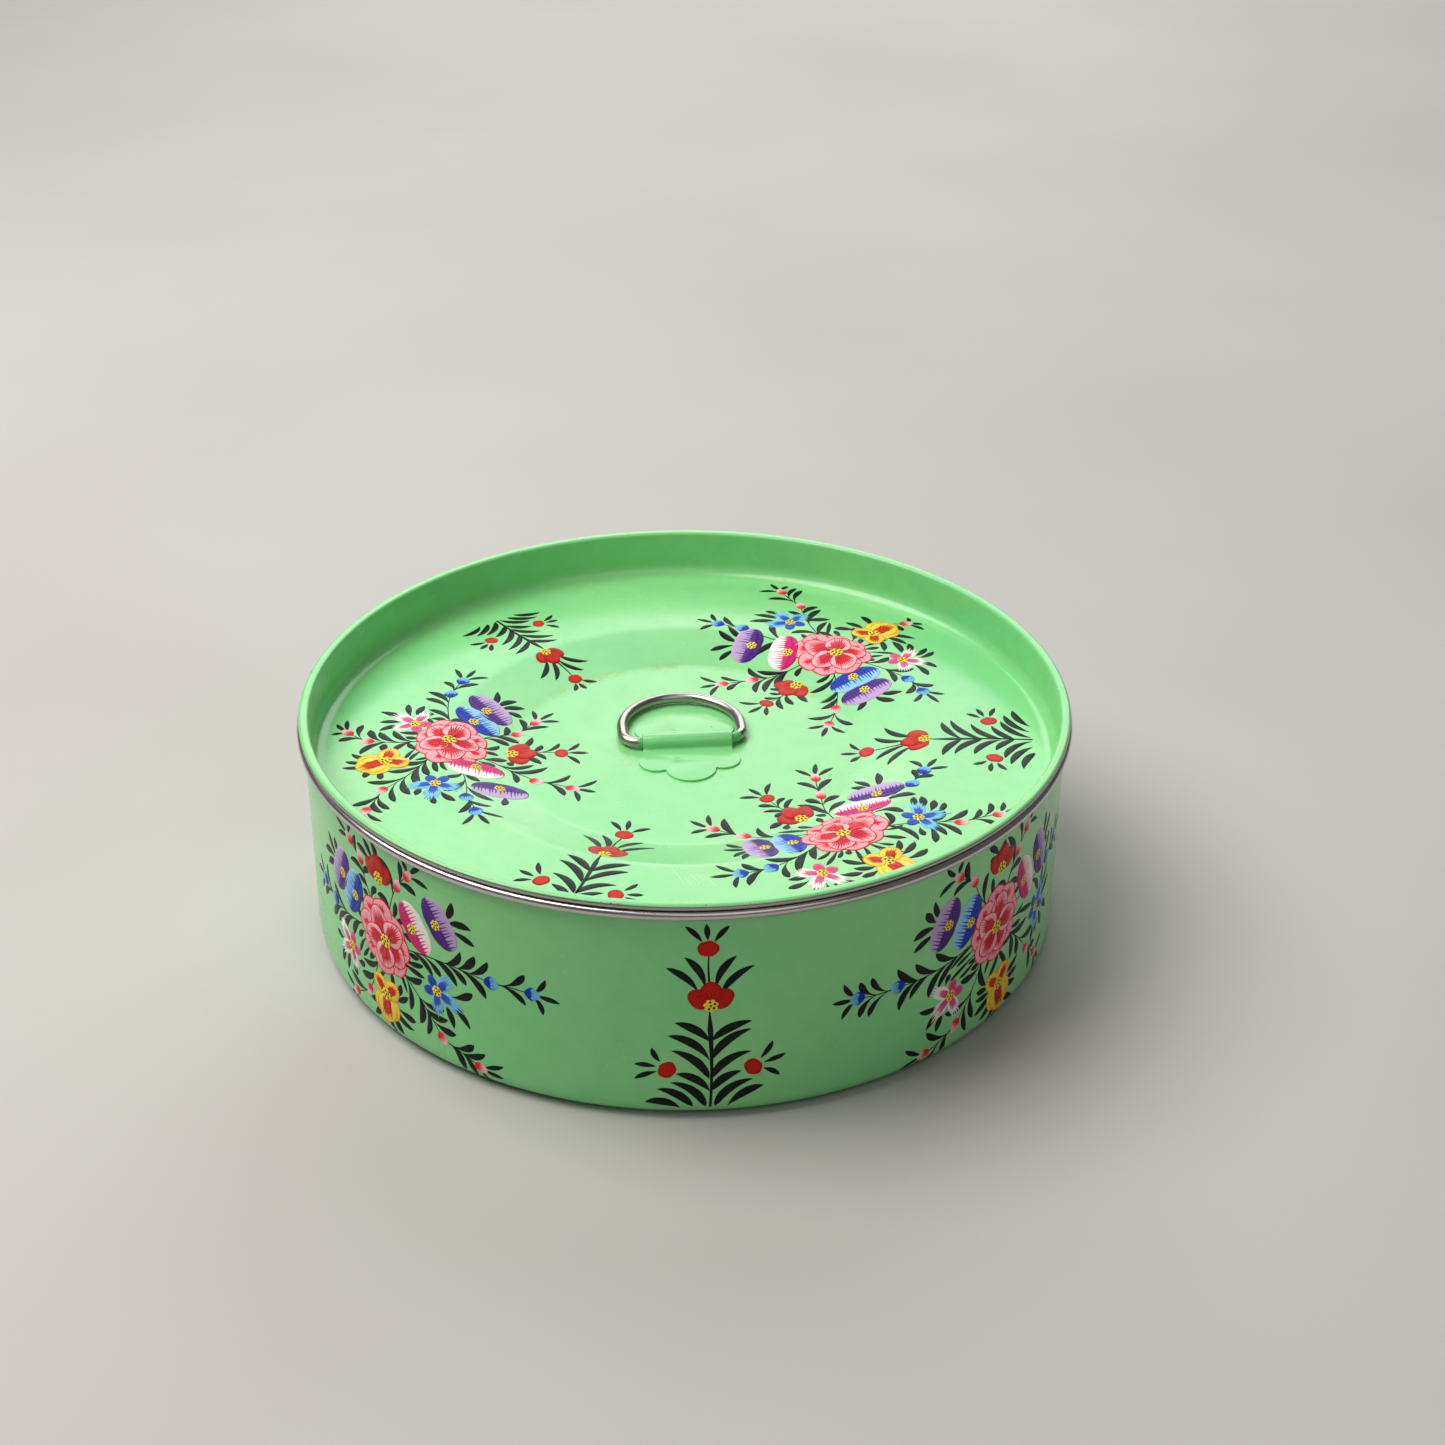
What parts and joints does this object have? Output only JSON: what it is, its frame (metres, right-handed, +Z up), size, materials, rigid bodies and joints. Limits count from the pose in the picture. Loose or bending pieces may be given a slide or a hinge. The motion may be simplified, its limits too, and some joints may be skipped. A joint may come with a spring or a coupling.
{
  "type": "lidded food box",
  "caption": "Round low steel food box, enamelled outside and painted with flower sprays, with a drop-in lid recessed below its rim and a folding wire ring on the lid.",
  "frame": {"origin": "centre of the flat base, on the surface that the box stands on", "axes": "+Z up along the box's own axis, -Y to the front, where the ring's strap has its near wing; +X to the right"},
  "size_m": [0.22, 0.22, 0.0679],
  "materials": {
    "enamelled_steel": "glossy mint-green enamel on stainless steel sheet, bare bright steel inside",
    "bare_steel": "polished stainless steel wire"
  },
  "bodies": {
    "box": {"box_shell": "enamelled_steel"},
    "lid": {"lid_shell": "enamelled_steel", "ring_strap": "enamelled_steel"},
    "ring": {"handle_ring": "bare_steel"}
  },
  "joints": [
    {"name": "lid_lift", "type": "slide", "parent": "box", "child": "lid", "axis": [0, 0, 1], "range_m": [0, 0.06]},
    {"name": "ring_swing", "type": "hinge", "parent": "lid", "child": "ring", "pos_m": [0.00045, 0.0026, 0.05057], "axis": [0.9962, 0.0872, 0], "range_deg": [0, 180]}
  ]
}
